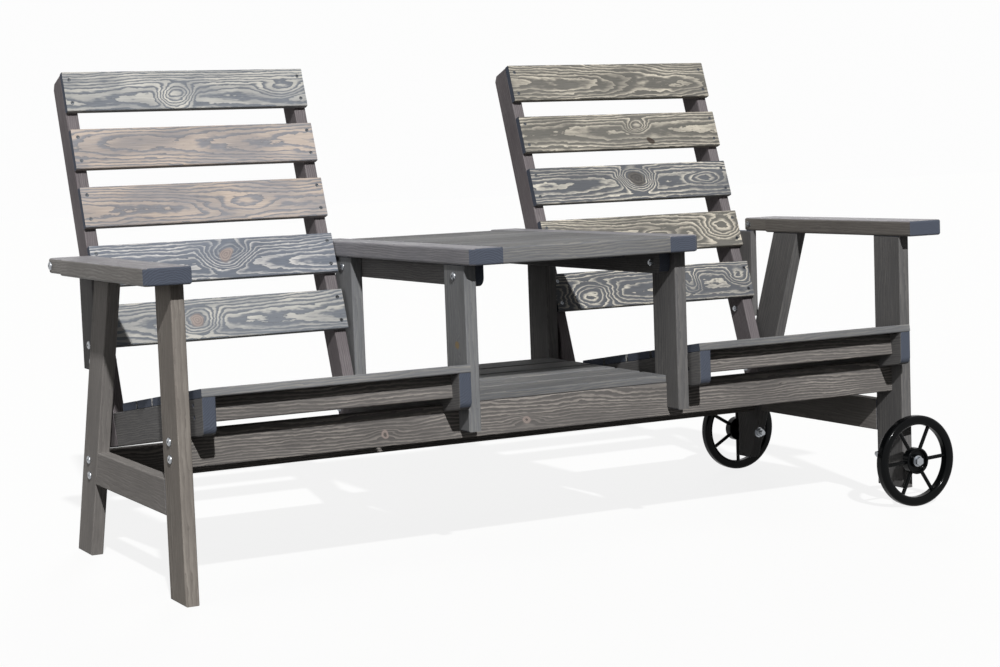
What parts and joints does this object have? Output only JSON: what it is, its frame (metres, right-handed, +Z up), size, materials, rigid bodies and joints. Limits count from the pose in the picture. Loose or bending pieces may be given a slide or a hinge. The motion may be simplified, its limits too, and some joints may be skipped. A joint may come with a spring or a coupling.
{
  "type": "outdoor bench",
  "caption": "Wooden garden bench with two reclined slatted seats, a table and deck between them, armrests, and wheels at one end for moving it.",
  "frame": {"origin": "middle of the footprint box, on the ground", "axes": "+X along the bench towards the wheels, +Y from the front to the back, +Z up"},
  "size_m": [1.9625, 0.9264, 1.0779],
  "materials": {
    "glazed_pine_boards": "grey glaze",
    "glazed_pine_frame": "grey glaze",
    "dowel_beech": "bare",
    "zinc_plated_steel": "zinc plated",
    "moulded_black_plastic": "satin"
  },
  "bodies": {
    "frame": {"arm_cleats": "glazed_pine_frame", "arm_end_blocks": "glazed_pine_frame", "arm_end_bolts": "zinc_plated_steel", "axle_bolts": "zinc_plated_steel", "axle_nuts": "zinc_plated_steel", "axle_washers": "zinc_plated_steel", "back_slat_screws": "zinc_plated_steel", "barrel_nuts": "zinc_plated_steel", "cleat_bolts": "zinc_plated_steel", "deck_bearers": "glazed_pine_frame", "deck_boards": "glazed_pine_boards", "dowels": "dowel_beech", "frame_bolts": "zinc_plated_steel", "front_beam": "glazed_pine_frame", "hex_nuts": "zinc_plated_steel", "left_armrest": "glazed_pine_frame", "left_back_slat_1": "glazed_pine_boards", "left_back_slat_2": "glazed_pine_boards", "left_back_slat_3": "glazed_pine_boards", "left_back_slat_4": "glazed_pine_boards", "left_back_slat_5": "glazed_pine_boards", "left_back_stiles": "glazed_pine_frame", "left_front_leg": "glazed_pine_frame", "left_front_post": "glazed_pine_frame", "left_rear_leg": "glazed_pine_frame", "left_rear_post": "glazed_pine_frame", "left_seat_rails": "glazed_pine_frame", "left_seat_slats": "glazed_pine_boards", "left_side_rail": "glazed_pine_frame", "left_table_edge_board": "glazed_pine_frame", "post_bolts": "zinc_plated_steel", "post_screws": "zinc_plated_steel", "rear_beam": "glazed_pine_frame", "right_armrest": "glazed_pine_frame", "right_back_slat_1": "glazed_pine_boards", "right_back_slat_2": "glazed_pine_boards", "right_back_slat_3": "glazed_pine_boards", "right_back_slat_4": "glazed_pine_boards", "right_back_slat_5": "glazed_pine_boards", "right_back_stiles": "glazed_pine_frame", "right_front_leg": "glazed_pine_frame", "right_front_post": "glazed_pine_frame", "right_rear_leg": "glazed_pine_frame", "right_rear_post": "glazed_pine_frame", "right_seat_rails": "glazed_pine_frame", "right_seat_slats": "glazed_pine_boards", "right_side_rail": "glazed_pine_frame", "right_table_edge_board": "glazed_pine_frame", "seat_bolts": "zinc_plated_steel", "seat_cross_rails": "glazed_pine_frame", "seat_frame_screws": "zinc_plated_steel", "seat_slat_screws": "zinc_plated_steel", "seat_spacers": "zinc_plated_steel", "table_and_deck_screws": "zinc_plated_steel", "table_battens": "glazed_pine_frame", "table_bearers": "glazed_pine_frame", "table_planks": "glazed_pine_boards"},
    "front_wheel": {"front_wheel": "moulded_black_plastic"},
    "rear_wheel": {"rear_wheel": "moulded_black_plastic"}
  },
  "joints": [
    {"name": "front_wheel_spin", "type": "hinge", "parent": "frame", "child": "front_wheel", "pos_m": [0.872, -0.43071, 0.107], "axis": [0, 1, 0], "continuous": true},
    {"name": "rear_wheel_spin", "type": "hinge", "parent": "frame", "child": "rear_wheel", "pos_m": [0.872, 0.29899, 0.107], "axis": [0, 1, 0], "continuous": true}
  ]
}
